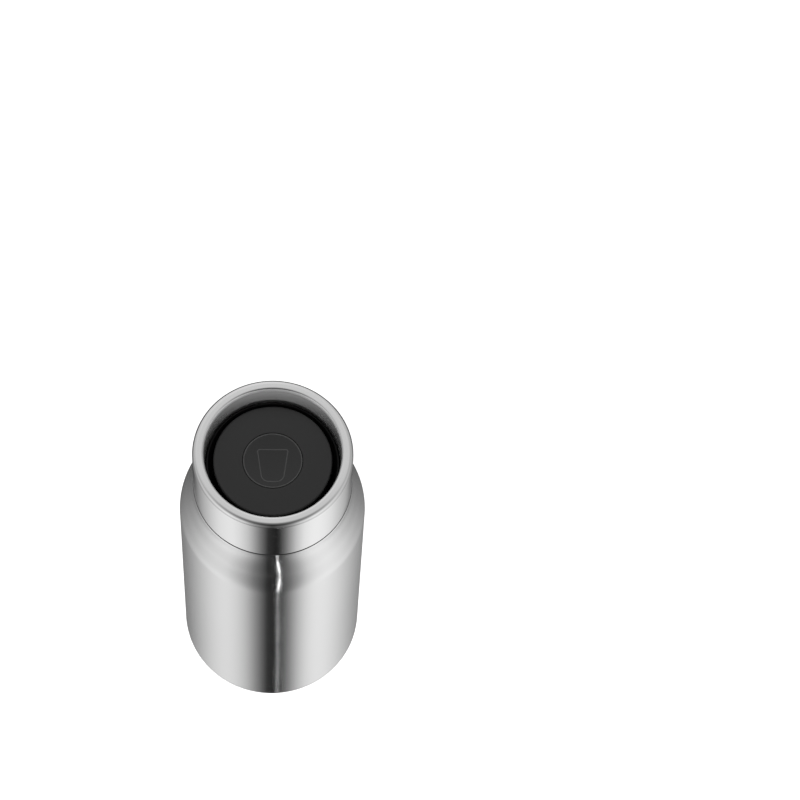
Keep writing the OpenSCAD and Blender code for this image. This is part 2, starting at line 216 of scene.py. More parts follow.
def new_material(name: str) -> tuple:
    """Make an empty node material.

    Args:
        name: the material's name.

    Returns:
        The material and its Nodes.
    """
    material = bpy.data.materials.new(name)
    material.use_nodes = True
    return material, Nodes(material.node_tree)


@dataclass(frozen=True)
class BrushedSteel:
    """Stainless steel brushed round the mug's axis.

    The brushing runs round the axis: its marks follow the height on a wall and the radius on a flat rim,
    and the shine is drawn out across them.

    Attributes:
        tone: darkest and lightest share of the grey.
        shine: least and most that is added to the roughness.
        edge_tint: brightness of the shine at a grazing angle.
        satin_r: radius inside which the steel is satin.
        line: width of a brush mark.
        cloud: scale and detail of a soft cloud.
        marks_share: share of the brush marks in the tone, beside the cloud.
    """

    name: str
    grey: float = 0.66
    tone: tuple = (0.95, 1.05)
    roughness: float = 0.27
    shine: tuple = (-0.05, 0.05)
    anisotropy: float = 0.7
    metallic: float = 1.0
    edge_tint: float = 1.0
    satin_r: float = 0.0
    satin_roughness: float = 0.5
    satin_metallic: float = 0.6
    line: float = 0.16 * MM
    line_length: float = 28 * MM
    line_detail: float = 4.0
    line_roughness: float = 0.6
    cloud: tuple = (22.0, 2.0)
    marks_share: float = 0.6
    relief: float = 0.004 * MM
    bump: float = 0.35

    def material(self) -> Material:
        """Build the material.

        Returns:
            The new material.
        """
        material, nodes = new_material(self.name)
        place = nodes.add("TexCoord").outputs["Object"]
        flat = nodes.vector("MULTIPLY", place, (1.0, 1.0, 0.0))
        radius = nodes.add("VectorMath", {"operation": "LENGTH"}, i0=flat).outputs["Value"]
        height = nodes.add("SeparateXYZ", None, Vector=place).outputs["Z"]
        along = nodes.calc("SUBTRACT", height, radius)
        rows = nodes.add("CombineXYZ", None, Z=nodes.calc("DIVIDE", along, self.line)).outputs[0]
        around = nodes.vector("DIVIDE", flat, (self.line_length,) * 3)
        fine = nodes.add(
            "TexNoise", None, Vector=nodes.vector("ADD", around, rows), Scale=1.0, Detail=self.line_detail,
            Roughness=self.line_roughness,
        ).outputs[0]
        cloud = nodes.noise(place, *self.cloud)
        marks = nodes.calc("MULTIPLY", fine, self.marks_share)
        shade = nodes.calc("ADD", marks, nodes.calc("MULTIPLY", cloud, 1 - self.marks_share))
        roughness = nodes.mix(shade, *(self.roughness + off for off in self.shine))
        bright = nodes.step(radius, self.satin_r, self.satin_r + self.line)
        nodes.surface(
            Base_Color=nodes.tint(shade, *(rgba(self.grey * share) for share in self.tone)),
            Metallic=nodes.mix(bright, self.satin_metallic, self.metallic),
            Specular_Tint=rgba(self.edge_tint),
            Roughness=nodes.mix(bright, self.satin_roughness, roughness),
            Anisotropic=self.anisotropy,
            Anisotropic_Rotation=BRUSHED_ACROSS,
            Tangent=nodes.add("Tangent", {"direction_type": "RADIAL", "axis": "Z"}).outputs[0],
            Normal=nodes.bump(fine, self.relief, self.bump),
        )
        return material


@dataclass(frozen=True)
class Grained:
    """A finish with a fine grain, and a faint cloud in its tone and shine.

    Attributes:
        tone: darkest and lightest share of the grey.
        shine: least and most that is added to the roughness.
        grain: scale and detail of the grain.
        cloud: scale and detail of the cloud.
    """

    name: str
    grey: float = 0.5
    tone: tuple = (0.9, 1.1)
    roughness: float = 0.5
    shine: tuple = (-0.04, 0.04)
    metallic: float = 0.0
    specular: float = 0.5
    grain: tuple = (1 / (0.22 * MM), 2.0)
    cloud: tuple = (60.0, 3.0)
    relief: float = 0.012 * MM
    bump: float = 0.5

    def material(self) -> Material:
        """Build the material.

        Returns:
            The new material.
        """
        material, nodes = new_material(self.name)
        place = nodes.add("TexCoord").outputs["Object"]
        cloud = nodes.noise(place, *self.cloud)
        nodes.surface(
            Base_Color=nodes.tint(cloud, *(rgba(self.grey * share) for share in self.tone)),
            Metallic=self.metallic,
            Roughness=nodes.mix(cloud, *(self.roughness + off for off in self.shine)),
            Specular_IOR_Level=self.specular,
            Normal=nodes.bump(nodes.noise(place, *self.grain), self.relief, self.bump),
        )
        return material


@dataclass(frozen=True)
class MouldedPlastic(Grained):
    """Matte moulding with the fine grain of an eroded tool."""


@dataclass(frozen=True)
class Silicone(Grained):
    """Soft seal with a dull bloom and faint mould marks."""

    grey: float = 0.06
    tone: tuple = (0.8, 1.3)
    roughness: float = 0.62
    shine: tuple = (-0.08, 0.08)
    grain: tuple = (900.0, 3.0)
    cloud: tuple = (900.0, 3.0)
    relief: float = 0.01 * MM
    bump: float = 0.3


@dataclass(frozen=True)
class DrawnWire(Grained):
    """Bright metal with drawing marks, for the spring, screw, clip and washer."""

    grey: float = 0.58
    roughness: float = 0.24
    shine: tuple = (-0.06, 0.1)
    metallic: float = 1.0
    grain: tuple = (2600.0, 4.0)
    cloud: tuple = (2600.0, 4.0)
    relief: float = 0.004 * MM
    bump: float = 0.25


STEEL = BrushedSteel(
    "brushed_steel", grey=0.77, roughness=0.19, shine=(-0.02, 0.02), anisotropy=0.97, edge_tint=0.65,
)
LIP_STEEL = BrushedSteel(
    "collar_steel", grey=0.56, roughness=0.11, shine=(-0.02, 0.02), anisotropy=0.2, satin_r=28.45 * MM,
)
NECK_STEEL = BrushedSteel("neck_steel", grey=0.75, roughness=0.25, anisotropy=0.2, metallic=0.68)
# Near-black steel for the shell's seam ledge: painted shade for the gap under the collar's lower edge.
SEAM_SHADE_STEEL = BrushedSteel("painted_seam_shade", grey=0.06, roughness=0.6, anisotropy=0.2, metallic=0.6)
BLACK = MouldedPlastic("black_moulding", grey=0.006, roughness=0.55, specular=0.15)
DARK = MouldedPlastic("disc_moulding", grey=0.012, roughness=0.38, specular=0.36)
NATURAL = MouldedPlastic("natural_moulding", grey=0.72, roughness=0.42)
ROTOR_PLASTIC = MouldedPlastic("rotor_moulding", grey=0.5, roughness=0.38)
SEAL = Silicone("silicone")
WIRE = DrawnWire("drawn_wire")
SINTER = DrawnWire("sintered_fitting", grey=0.3, roughness=0.5)
INK = MouldedPlastic("line_print", grey=0.06, roughness=0.5, relief=0.002 * MM)


@dataclass(frozen=True)
class Knot:
    """One corner of a turned outline: its radius, height and rounding, which is 0 if it is sharp."""

    r: float
    z: float
    round: float = 0.0

    def spot(self) -> Vector:
        """Place of the corner in the outline's plane."""
        return Vector((self.r, 0.0, self.z))


@dataclass(frozen=True)
class Outline:
    """A chain of corners with true arcs, drawn as bmesh edges in the XZ plane.

    Attributes:
        corners: radius, height and, where it isn't sharp, rounding of each corner in order.
        closed: whether the last corner joins the first.
    """

    corners: list[tuple]
    closed: bool = False

    def draw(self, bm: Mesh) -> None:
        """Draw the outline.

        Args:
            bm: the mesh to draw in.
        """
        knots = [Knot(*corner) for corner in self.corners]
        count = len(knots)
        ends = []
        for k, knot in enumerate(knots):
            inner = self.closed or 0 < k < count - 1
            if inner and knot.round > 0:
                ends.append(self._arc(bm, knots[k - 1], knot, knots[(k + 1) % count]))
            else:
                vert = bm.verts.new(knot.spot())
                ends.append((vert, vert))
        following = ends[1:] + ends[:1] if self.closed else ends[1:]
        for (_, tail), (head, _) in zip(ends, following):
            self._straight(bm, tail, head)

    @staticmethod
    def _straight(bm: Mesh, tail: Vert, head: Vert) -> None:
        """Join two arcs, with a point close to each end that keeps the shading between them straight.

        Args:
            bm: the mesh to draw in.
            tail: last vertex of one arc.
            head: first vertex of the next.
        """
        way = head.co - tail.co
        chain = [tail, head]
        if way.length > GUARDED:
            step = way.normalized() * GUARD
            chain[1:1] = [bm.verts.new(tail.co + step), bm.verts.new(head.co - step)]
        for pair in zip(chain, chain[1:]):
            bm.edges.new(pair)

    @staticmethod
    def _arc(bm: Mesh, before: Knot, knot: Knot, after: Knot) -> tuple:
        """Round one corner by spinning a vertex about the arc's centre.

        Args:
            bm: the mesh to draw in.
            before: the corner before.
            knot: the corner to round.
            after: the corner after.

        Returns:
            The first and last vertex of the arc.
        """
        way_in = (knot.spot() - before.spot()).normalized()
        way_out = (after.spot() - knot.spot()).normalized()
        turn = math.atan2(way_in.x * way_out.z - way_in.z * way_out.x, way_in.dot(way_out))
        start = knot.spot() - way_in * knot.round * math.tan(abs(turn) / 2)
        left = Vector((-way_in.z, 0.0, way_in.x)) * math.copysign(1.0, turn)
        steps = max(3, math.ceil(abs(turn) / ARC_STEP), math.ceil(abs(turn) * knot.round / ARC_CHORD))
        head = bm.verts.new(start)
        made = ops.spin(
            bm, geom=[head], cent=start + left * knot.round, axis=(0, -1, 0), angle=turn, steps=steps,
        )
        tail = next(g for g in made["geom_last"] if isinstance(g, Vert))
        return head, tail


def turned(corners: list[tuple], closed: bool = True) -> Mesh:
    """Spin an outline about the mug's axis.

    Args:
        corners: corners of the outline.
        closed: whether the outline is a closed loop, and not a sheet or a chain from axis to axis.

    Returns:
        The mesh, welded and facing outwards.
    """
    bm = bmesh.new()
    Outline(corners, closed).draw(bm)
    ops.spin(
        bm, geom=bm.verts[:] + bm.edges[:], axis=UP, angle=FULL_TURN, steps=RING_STEPS, use_merge=True,
    )
    ops.remove_doubles(bm, verts=bm.verts[:], dist=WELD)
    ops.dissolve_degenerate(bm, edges=bm.edges[:], dist=WELD)
    ops.recalc_face_normals(bm, faces=bm.faces[:])
    return bm


def sheet_metal(corners: list[tuple], wall: float, inside_out: bool = False) -> Mesh:
    """Spin a sheet's outer face and give it its thickness.

    Args:
        corners: corners of the face that is seen.
        wall: thickness of the sheet, behind that face.
        inside_out: whether the face that is seen looks towards the axis.

    Returns:
        The closed sheet.
    """
    bm = turned(corners, closed=False)
    if inside_out:
        ops.reverse_faces(bm, faces=bm.faces[:])
    ops.solidify(bm, geom=bm.faces[:], thickness=wall)
    return bm


def joined(*parts: Mesh) -> Mesh:
    """Put meshes together.

    Args:
        parts: the meshes, which are freed.

    Returns:
        One mesh of them all.
    """
    whole = bmesh.new()
    for part in parts:
        scratch = bpy.data.meshes.new("scratch")
        part.to_mesh(scratch)
        part.free()
        whole.from_mesh(scratch)
        bpy.data.meshes.remove(scratch)
    return whole


def repeated(bm: Mesh, count: int) -> Mesh:
    """Copy a mesh round the axis.

    Args:
        bm: the mesh, which gets the copies.
        count: number of places round the axis, with the first in place.

    Returns:
        The same mesh.
    """
    first = bm.verts[:] + bm.edges[:] + bm.faces[:]
    for k in range(1, count):
        copy = ops.duplicate(bm, geom=first)["geom"]
        verts = [g for g in copy if isinstance(g, Vert)]
        turn = Matrix.Rotation(FULL_TURN * k / count, 3, "Z")
        ops.rotate(bm, verts=verts, matrix=turn)
    return bm


@dataclass(frozen=True)
class Thread:
    """Thread of raised ridges that fade into their round wall at both ends.

    Attributes:
        wall_r: radius of the wall.
        side: side of the wall that the ridges stand on.
        z: height of a ridge's middle.
        sweep: angle that each ridge covers.
    """

    wall_r: float
    side: Side
    z: float
    sweep: float
    lead: float = 16 * MM
    starts: int = 3
    height: float = 0.85 * MM
    root_w: float = 2.2 * MM
    tip_w: float = 1.1 * MM
    sink: float = 0.3 * MM
    crest_round: float = 0.25 * MM
    step: float = math.radians(4)
    fade: float = math.radians(18)

    def mesh(self) -> Mesh:
        """Sweep one ridge along its helix and copy it for each start.

        Returns:
            All the ridges.
        """
        bm = bmesh.new()
        rise = self.lead * self.sweep / FULL_TURN
        low = self.z - rise / 2
        root, tip = (self.wall_r + self.side.value * out for out in (-self.sink, self.height))
        Outline([
            (root, low - self.root_w / 2), (tip, low - self.tip_w / 2, self.crest_round),
            (tip, low + self.tip_w / 2, self.crest_round), (root, low + self.root_w / 2),
        ], closed=True).draw(bm)
        face = ops.contextual_create(bm, geom=bm.edges[:])["faces"]
        steps = round(self.sweep / self.step)
        ops.spin(
            bm, geom=bm.verts[:] + bm.edges[:] + face, axis=UP, angle=self.sweep, steps=steps,
            dvec=(0, 0, rise / steps),
        )
        for vert in bm.verts:
            self._fade(vert)
        ops.recalc_face_normals(bm, faces=bm.faces[:])
        return repeated(bm, self.starts)

    def _fade(self, vert: Vert) -> None:
        """Lower a point of the ridge towards the wall near the ridge's ends.

        Args:
            vert: the point.
        """
        angle = math.atan2(vert.co.y, vert.co.x)
        share = min(1.0, max(0.0, min(angle, self.sweep - angle) / self.fade))
        radius = math.hypot(vert.co.x, vert.co.y)
        foot = self.sink / 2
        out = self.side.value * (radius - self.wall_r) + foot
        if out > 0:
            scale = (self.wall_r + self.side.value * (share * out - foot)) / radius
            vert.co.x *= scale
            vert.co.y *= scale


def placed(name: str, bm: Mesh, material: Material) -> Object:
    """Put a mesh in the scene.

    Args:
        name: the object's name.
        bm: its mesh, which is freed.
        material: its first material.

    Returns:
        The new object.
    """
    mesh = bpy.data.meshes.new(name)
    bm.to_mesh(mesh)
    bm.free()
    mesh.materials.append(material)
    thing = bpy.data.objects.new(name, mesh)
    bpy.context.scene.collection.objects.link(thing)
    return thing


def publish(name: str, bm: Mesh, finish: object, body: Body, slot: Slot, *nodes: str) -> Object:
    """Turn a bmesh into a finished piece that rides on a body.

    Args:
        name: the piece's name.
        bm: its mesh, which is freed.
        finish: the finish to build its material from.
        body: the body it rides on.
        slot: a slot of the record; not used.
        nodes: CAD nodes that it stands for.

    Returns:
        The new object.
    """
    for face in bm.faces:
        face.smooth = True
    for edge in bm.edges:
        edge.smooth = edge.is_manifold and edge.calc_face_angle(0.0) < CREASE
    piece = placed(name, bm, finished(finish))
    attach(piece, body.value)
    if nodes:
        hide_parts(*nodes)
    LOG.info("%s: %d faces on %s", name, len(piece.data.polygons), body.value)
    return piece


@cache
def finished(finish: object) -> Material:
    """The material of a finish, built once."""
    return finish.material()


def dress(node: str, finish: object) -> None:
    """Give a CAD node that stays in view its finish.

    Args:
        node: the node's name.
        finish: the finish to build its material from.
    """
    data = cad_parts[node].data
    data.materials.clear()
    data.materials.append(finished(finish))
    LOG.info("%s keeps its CAD shape", node)


@dataclass
class SteelMug:
    """Outer shell, collar, inner flask and base."""

    wall: float = 0.5 * MM
    base_round: float = 7.6 * MM
    shoulder_z: float = 128.8 * MM
    seam_gap: float = 0.75 * MM
    roll_reach: float = 2 * MM
    roll_h: float = 1 * MM
    roll_in: float = 0.15 * MM
    roll_round: float = 9 * MM
    collar_flare: float = 0.4 * MM
    collar_taper: float = 0.1 * MM
    collar_drop: float = 1.5 * MM
    lip_w: float = 4.75 * MM
    lip_round: float = 1.9 * MM
    lip_drop: float = 1.5 * MM
    lip_slope: float = math.radians(58)
    lip_edge: float = 0.15 * MM
    hem_round: float = 1.2 * MM
    hem_gap: float = 0.02 * MM
    neck_inset: float = 0.25 * MM
    neck_flare_h: float = 5 * MM
    ledge_depth: float = 33 * MM
    ledge_w: float = 2 * MM
    throat_h: float = 3 * MM
    thread_rise: float = 9.1 * MM
    thread_sweep: float = math.radians(96)
    flask_bend_z: float = 132.0 * MM
    flask_bend_round: float = 10 * MM
    flask_round: float = 8 * MM
    edge: float = 0.15 * MM
    throat_round: float = 3 * MM
    step_share: float = 0.62
    step_h: float = 0.3 * MM
    shoulder_fill: float = 0.999
    flare_fill: float = 0.99

    def __post_init__(self) -> None:
        """Read the main sizes from the frame."""
        self.body_r = Size.of("outer_shell").radius
        collar_low, self.top_z, self.seam_r = Size.of("collar_ring")
        flask_low, self.flange_z, flask_out = Size.of("inner_flask")
        _, self.base_z, self.foot_r = Size.of("base_disc")
        self.collar_z = collar_low - self.collar_drop
        self.seam_z = self.collar_z - self.seam_gap
        self.lip_r = self.seam_r - self.collar_flare
        self.mouth_r = self.lip_r - self.lip_w
        self.neck_r = self.mouth_r - self.neck_inset
        self.throat_r = self.neck_r - self.ledge_w
        self.flask_r = flask_out - self.wall
        self.flask_floor_z = flask_low + self.wall
        self.hem_z = self.top_z - self.hem_round - self.edge
        self.ledge_z = self.top_z - self.ledge_depth
        self.sleeve_r = self.lip_r - self.wall - FIT_GAP

    def build(self) -> None:
        """Build every piece of the mug."""
        self.outer_shell()
        self.collar()
        self.flask()
        self.base()

    def shoulder(self) -> list[tuple]:
        """Draw the shoulder as two equal arcs that meet halfway.

        Returns:
            Their corners.
        """
        inward = self.body_r - self.seam_r
        top = self.seam_z - self.roll_reach
        height = top - self.shoulder_z
        radius = (inward ** 2 + height ** 2) / (4 * inward)
        lean = 2 * math.atan(inward / height)
        reach = radius * math.tan(lean / 2)
        arc = self.shoulder_fill * radius
        return [
            (self.body_r, self.shoulder_z + reach, arc),
            (self.seam_r, top - reach, arc),
        ]

    def flare(self) -> tuple:
        """Widen the neck to the mouth by an arc.

        Returns:
            Its corner.
        """
        half = self.neck_flare_h / 2
        turn = math.atan(self.neck_inset / half)
        arc = self.flare_fill * half / math.tan(turn / 2)
        return self.neck_r, self.hem_z - self.hem_gap - half, arc

    def outer_shell(self) -> None:
        """Standing ring, rounded bottom corner, body, shoulder and neck sleeve."""
        bm = sheet_metal([
            (self.foot_r, 0.0), (self.body_r, 0.0, self.base_round), *self.shoulder(),
            (self.seam_r, self.seam_z - self.roll_h, self.roll_round),
            (self.seam_r - self.roll_in, self.seam_z, self.edge), (self.sleeve_r, self.seam_z),
            (self.sleeve_r, self.flange_z - self.wall),
        ], self.wall)
        # Faces of the ledge and sleeve at the seam take the second material, which is painted shade in the
        # gap under the collar.
        for face in bm.faces:
            face.material_index = int(face.calc_center_median().z > self.seam_z - self.edge / 4)
        shell = publish("shell", bm, STEEL, Body.MUG, Slot.STEEL, "outer_shell")
        shell.data.materials.append(finished(SEAM_SHADE_STEEL))

    def collar(self) -> None:
        """Sleeve over the neck whose top rolls over into the lip."""
        bm = sheet_metal([
            (self.lip_r + self.collar_taper, self.collar_z),
            (self.lip_r, self.top_z - self.lip_drop, self.lip_edge),
            (self.lip_r - self.lip_drop / math.tan(self.lip_slope), self.top_z, self.lip_round),
            (self.mouth_r, self.top_z, self.hem_round), (self.mouth_r, self.hem_z),
        ], self.wall)
        publish("collar", bm, LIP_STEEL, Body.MUG, Slot.STEEL, "collar_ring")

    def flask(self) -> None:
        """Inner wall from the mouth flange to the floor, with the neck's thread."""
        wall = sheet_metal([
            (self.mouth_r, self.hem_z - self.hem_gap), self.flare(),
            (self.neck_r, self.ledge_z, self.edge), (self.throat_r, self.ledge_z, MILD),
            (self.throat_r, self.ledge_z - self.throat_h, self.throat_round),
            (self.flask_r, self.flask_bend_z, self.flask_bend_round),
            (self.flask_r, self.flask_floor_z, self.flask_round), (0.0, self.flask_floor_z),
        ], self.wall, inside_out=True)
        thread = Thread(self.neck_r, Side.IN, self.ledge_z + self.thread_rise, self.thread_sweep)
        bm = joined(wall, thread.mesh())
        publish("flask", bm, NECK_STEEL, Body.MUG, Slot.STEEL, "inner_flask")

    def base(self) -> None:
        """Vacuum base and the stamped bottom cover."""
        bm = sheet_metal([
            (self.foot_r, 0.0), (self.foot_r, self.base_z, SOFT), (0.0, self.base_z),
        ], self.wall)
        publish("vacuum_base", bm, STEEL, Body.MUG, Slot.STEEL, "base_disc")
        low, high, cover_r = Size.of("base_cover")
        step_r = self.step_share * cover_r
        bm = sheet_metal([
            (0.0, low + self.step_h), (step_r - self.step_h, low + self.step_h, HALF),
            (step_r, low, HALF), (cover_r, low, SOFT), (cover_r, high),
        ], self.wall)
        publish("bottom_cover", bm, STEEL, Body.MUG, Slot.STEEL, "base_cover")
        dress("vacuum_seal", SINTER)
        dress("getter_pill", SINTER)


@dataclass
class ScrewLid:
    """Black moulding with its thread, the top disc and the gasket under its step."""

    disc_round: float = 0.7 * MM
    disc_t: float = 2.7 * MM
    disc_dome: float = 0.1 * MM
    hub_t: float = 1.5 * MM
    floor_t: float = 3.5 * MM
    cap_h: float = 6 * MM
    bore_gap: float = 0.1 * MM
    ring_t: float = 1.5 * MM
    ring_collar_h: float = 5 * MM
    seat_w: float = 2 * MM
    thread_z: float = 160.1 * MM
    thread_sweep: float = math.radians(72)
    thread_h: float = 0.85 * MM
    spoke_count: int = 6
    spoke_t: float = 2 * MM
    spoke_h: float = 9 * MM
    spoke_rise: float = 1 * MM
    spoke_round: float = 0.45 * MM
    seat_r: float = 24.7 * MM
    stem_bore: float = 3.05 * MM
    groove_r: float = 4.2 * MM
    groove_w: float = 1.4 * MM
    bead: float = 0.3 * MM
    snap: float = 0.35 * MM
    rib_h: float = 0.25 * MM
    bore_round: float = 1 * MM
    dome_fill: float = 0.85

    def __post_init__(self) -> None:
        """Read the main sizes from the frame."""
        _, self.top_z, self.disc_r = Size.of("top_disc")
        self.seat_z, _, self.collar_r = Size.of("lid_body")
        self.step_z = Size.of("lid_gasket").high
        stop_r = Size.of("push_button").radius
        self.under_z = self.top_z - self.disc_t
        self.bore_r = stop_r - STOP_LAP
        self.hub_bore_r = stop_r + self.bore_gap
        self.hub_r = self.hub_bore_r + self.hub_t
        self.ring_r = self.collar_r - self.thread_h
        self.ring_bore_r = self.ring_r - self.ring_t
        self.seat_bore_r = self.seat_r - self.seat_w
        self.floor_z = self.seat_z + self.floor_t

    def build(self) -> None:
        """Build every piece of the lid."""
        thread = Thread(self.ring_r, Side.OUT, self.thread_z, self.thread_sweep)
        bm = joined(self.ring(), self.hub(), self.spokes(), thread.mesh())
        publish("lid", bm, BLACK, Body.LID, Slot.BLACK, "lid_body")
        self.top_disc()
        self.gasket()
        dress("stem_o_ring", SEAL)

    def ring(self) -> Mesh:
        """Turn the threaded ring, with its collar at the top and the valve's seat at the bottom.

        Returns:
            The ring.
        """
        collar_z = self.under_z - self.ring_collar_h
        return turned([
            (self.seat_bore_r, self.seat_z, HALF), (self.seat_r, self.seat_z, HALF),
            (self.seat_r, self.step_z, FINE), (self.ring_r, self.step_z, SLIGHT),
            (self.ring_r, collar_z, SLIGHT), (self.collar_r, collar_z + self.thread_h, FINE),
            (self.collar_r, self.under_z, MILD), (self.ring_r, self.under_z, SLIGHT),
            (self.ring_bore_r, collar_z, self.bore_round),
            (self.ring_bore_r, self.step_z + self.ring_bore_r - self.seat_bore_r, SOFT),
            (self.seat_bore_r, self.step_z, SOFT),
        ])

    def hub(self) -> Mesh:
        """Turn the cup in the middle that the button's spring and latch stand in.

        Returns:
            The hub.
        """
        bore = self.stem_bore
        middle = self.seat_z + self.floor_t / 2
        groove_low, groove_high = middle - self.groove_w / 2, middle + self.groove_w / 2
        snap_z = self.under_z - self.cap_h / 2
        return turned([
            (bore, self.seat_z, SLIGHT), (self.hub_r, self.seat_z, FULL),
            (self.hub_r, snap_z - self.bead), (self.hub_r + self.bead, snap_z, CRISP),
            (self.hub_r, snap_z + self.bead), (self.hub_r, self.under_z, SLIGHT),
            (self.hub_bore_r, self.under_z, SLIGHT), (self.hub_bore_r, self.floor_z, SLIGHT),
            (bore, self.floor_z, FINE), (bore, groove_high), (self.groove_r, groove_high),
            (self.groove_r, groove_low), (bore, groove_low),
        ])

    def spokes(self) -> Mesh:
        """Make the webs between hub and ring that the drink passes between.

        Returns:
            The webs.
        """
        bm = bmesh.new()
        inner, outer = self.hub_r - self.hub_t / 2, self.ring_bore_r + self.ring_t / 2
        low = self.step_z + self.spoke_rise
        middle = Vector(((inner + outer) / 2, 0.0, low + self.spoke_h / 2))
        verts = ops.create_cube(bm, size=1.0)["verts"]
        ops.scale(bm, verts=verts, vec=(outer - inner, self.spoke_t, self.spoke_h))
        ops.translate(bm, verts=verts, vec=middle)
        along = [e for e in bm.edges if abs(e.verts[0].co.x - e.verts[1].co.x) > self.spoke_t]
        ops.bevel(
            bm, geom=along, offset=self.spoke_round, offset_type="OFFSET", segments=3, profile=0.5,
            affect="EDGES", material=-1,
        )
        return repeated(bm, self.spoke_count)

    def top_disc(self) -> None:
        """Disc with a soft edge, and the cap that snaps over the hub."""
        cap_in, cap_out = self.hub_r + FIT_GAP, self.hub_r + self.hub_t
        cap_z = self.under_z - self.cap_h
        snap_z = self.under_z - self.cap_h / 2
        bm = turned([
            (self.bore_r, self.under_z), (cap_in, self.under_z), (cap_in, snap_z + self.snap),
            (cap_in + self.snap, snap_z), (cap_in, snap_z - self.snap), (cap_in, cap_z),
            (cap_out, cap_z, SLIGHT), (cap_out, self.under_z, SLIGHT),
            (self.disc_r, self.under_z, SOFT),
            (self.disc_r, self.top_z - self.disc_dome, self.disc_round), self.dome(),
            (self.bore_r, self.top_z, CRISP),
        ])
        publish("disc", bm, DARK, Body.LID, Slot.BLACK, "top_disc")

    def dome(self) -> tuple:
        """Let the disc fall away to its edge by an arc.

        Returns:
            Its corner.
        """
        half = (self.disc_r - self.bore_r) / 2
        turn = math.atan(self.disc_dome / half)
        return self.bore_r + half, self.top_z, self.dome_fill * half / math.tan(turn / 2)

    def gasket(self) -> None:
        """Soft ring with two ribs that the lid presses on the neck's ledge."""
        inner = self.seat_r + FIT_GAP
        low, high, outer = Size.of("lid_gasket")
        rib = (high - low) / 4
        bm = turned([
            (inner, low, SLIGHT), (outer, low, HALF), (outer, low + rib, SLIGHT),
            (outer - self.rib_h, low + 2 * rib, SLIGHT), (outer, low + 3 * rib, SLIGHT),
            (outer, high, MILD), (inner, high, SLIGHT),
        ])
        publish("gasket_ring", bm, SEAL, Body.GASKET, Slot.SOFT, "lid_gasket")


